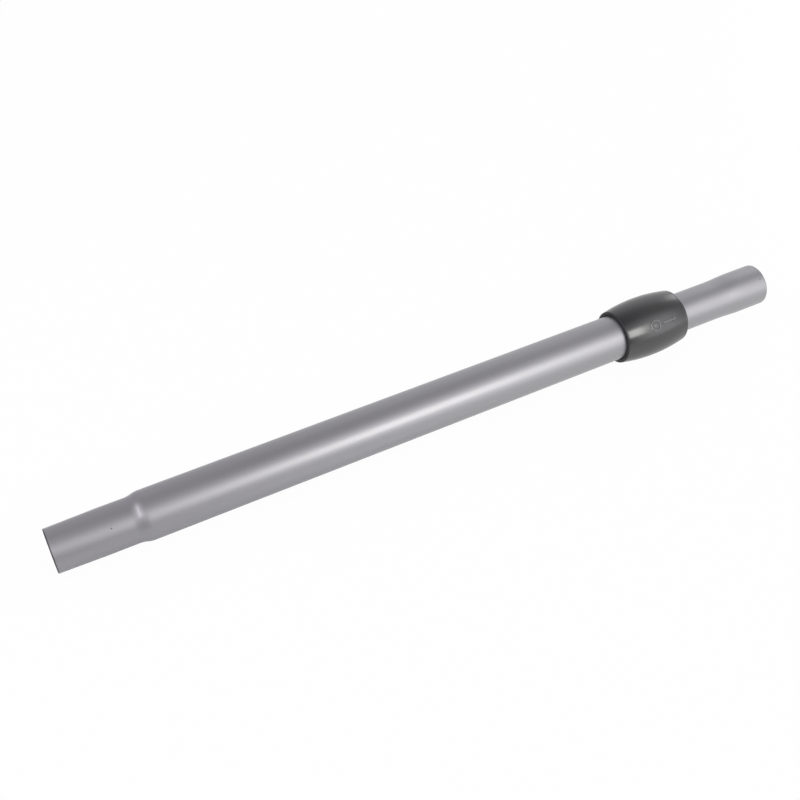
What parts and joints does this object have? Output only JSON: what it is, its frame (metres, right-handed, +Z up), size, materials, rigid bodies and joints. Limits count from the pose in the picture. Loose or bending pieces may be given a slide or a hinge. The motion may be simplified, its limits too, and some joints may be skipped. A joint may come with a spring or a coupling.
{
  "type": "telescopic vacuum wand",
  "caption": "Telescopic metal wand for a vacuum cleaner: an inner tube slides out of an outer tube and is clamped by balls under a sliding black release collar.",
  "frame": {"origin": "centre of the lower spigot's rim, on the wand's axis", "axes": "+X along the wand from the lower spigot to the upper socket, +Z up with the wand lying flat, the collar's mark turned 48 degrees from +Z towards -Y"},
  "size_m": [0.5815, 0.0472, 0.0472],
  "materials": {
    "tube_lacquer": "satin silver-grey lacquer on steel tube",
    "collar_black": "black moulded plastic with a satin sheen",
    "cap_black": "matt black moulded plastic",
    "sleeve_grey": "natural grey low-friction plastic",
    "seal_rubber": "matt black rubber",
    "wiper_felt": "dense dark felt",
    "cam_steel": "turned steel",
    "spring_steel": "drawn spring wire",
    "ball_steel": "polished hardened steel"
  },
  "bodies": {
    "outer": {"outer_tube": "tube_lacquer", "guide_sleeve": "sleeve_grey", "sleeve_seal": "seal_rubber", "end_cap": "cap_black", "wiper_seal": "wiper_felt", "return_spring": "spring_steel"},
    "inner": {"inner_tube": "tube_lacquer", "glide_ring": "sleeve_grey", "lip_seal": "seal_rubber", "stop_ring": "cam_steel"},
    "collar": {"lock_collar": "collar_black", "collar_end_ring": "collar_black", "cam_ring": "cam_steel"},
    "ball_1": {"lock_ball_1": "ball_steel"},
    "ball_2": {"lock_ball_2": "ball_steel"},
    "ball_3": {"lock_ball_3": "ball_steel"},
    "ball_4": {"lock_ball_4": "ball_steel"},
    "ball_5": {"lock_ball_5": "ball_steel"},
    "ball_6": {"lock_ball_6": "ball_steel"}
  },
  "joints": [
    {"name": "telescope", "type": "slide", "parent": "outer", "child": "inner", "axis": [1, 0, 0], "range_m": [0, 0.34]},
    {"name": "collar_slide", "type": "slide", "parent": "outer", "child": "collar", "axis": [1, 0, 0], "range_m": [0, 0.005], "stiffness_N_per_m": 1200, "springref_m": -0.005, "deforming": ["return_spring"]},
    {"name": "ball_1_slide", "type": "slide", "parent": "outer", "child": "ball_1", "axis": [0, -0.9781, 0.2079], "range_m": [0, 0.0006]},
    {"name": "ball_2_slide", "type": "slide", "parent": "outer", "child": "ball_2", "axis": [0, -0.6691, -0.7431], "range_m": [0, 0.0006]},
    {"name": "ball_3_slide", "type": "slide", "parent": "outer", "child": "ball_3", "axis": [0, 0.309, -0.9511], "range_m": [0, 0.0006]},
    {"name": "ball_4_slide", "type": "slide", "parent": "outer", "child": "ball_4", "axis": [0, 0.9781, -0.2079], "range_m": [0, 0.0006]},
    {"name": "ball_5_slide", "type": "slide", "parent": "outer", "child": "ball_5", "axis": [0, 0.6691, 0.7431], "range_m": [0, 0.0006]},
    {"name": "ball_6_slide", "type": "slide", "parent": "outer", "child": "ball_6", "axis": [0, -0.309, 0.9511], "range_m": [0, 0.0006]}
  ],
  "couplings": [
    {"joint": "ball_1_slide", "follows": "collar_slide", "ratio": 0.12},
    {"joint": "ball_2_slide", "follows": "collar_slide", "ratio": 0.12},
    {"joint": "ball_3_slide", "follows": "collar_slide", "ratio": 0.12},
    {"joint": "ball_4_slide", "follows": "collar_slide", "ratio": 0.12},
    {"joint": "ball_5_slide", "follows": "collar_slide", "ratio": 0.12},
    {"joint": "ball_6_slide", "follows": "collar_slide", "ratio": 0.12}
  ]
}
